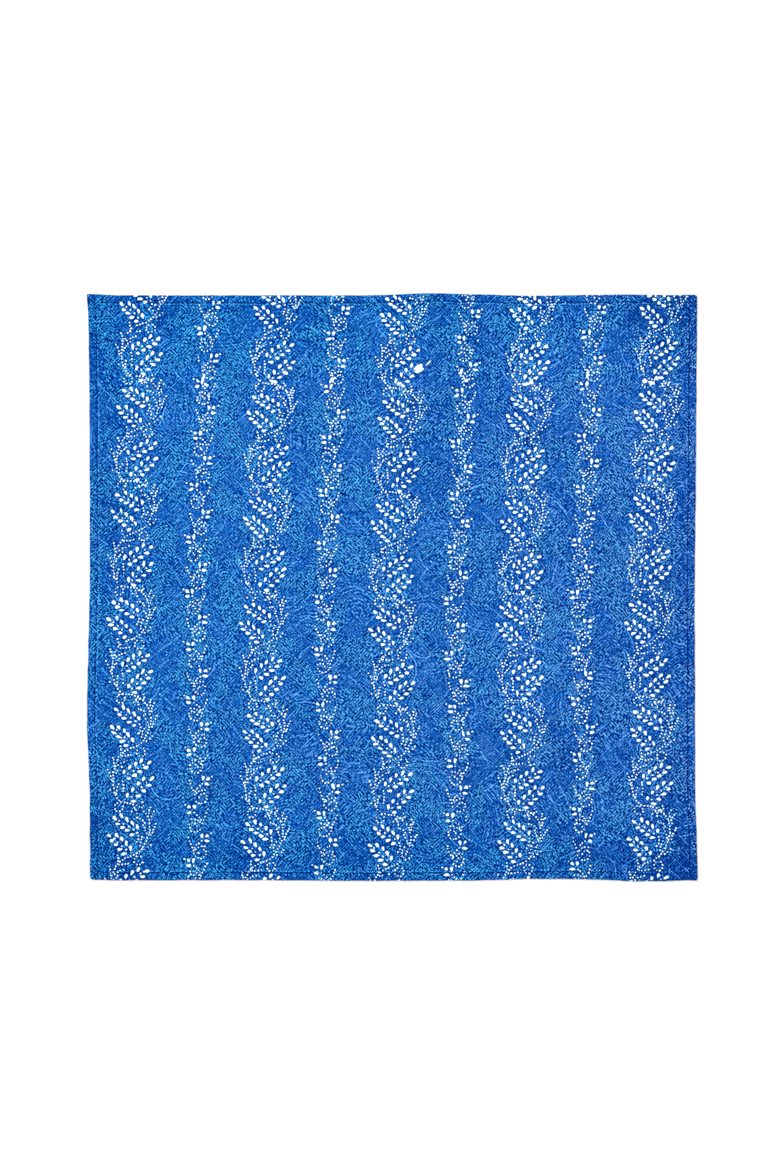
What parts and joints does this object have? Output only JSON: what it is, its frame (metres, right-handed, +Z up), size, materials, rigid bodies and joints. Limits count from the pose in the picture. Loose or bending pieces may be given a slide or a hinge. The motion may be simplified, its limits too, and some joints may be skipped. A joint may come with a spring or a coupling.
{
  "type": "pocket square",
  "caption": "Hemmed cotton pocket square lying flat and face up, blue with white leaf and dot vine stripes.",
  "frame": {"origin": "middle of the cloth's overall box, on the surface that it lies on", "axes": "+X along the longer side, +Y to the top edge, +Z up out of the printed face"},
  "size_m": [0.42, 0.405, 0.0016],
  "materials": {
    "cloth": "matt cotton with a tone-on-tone woven figure and a white resist print of leaf sprigs and dotted vines"
  },
  "bodies": {
    "root": {"cloth": "cloth"}
  },
  "joints": []
}
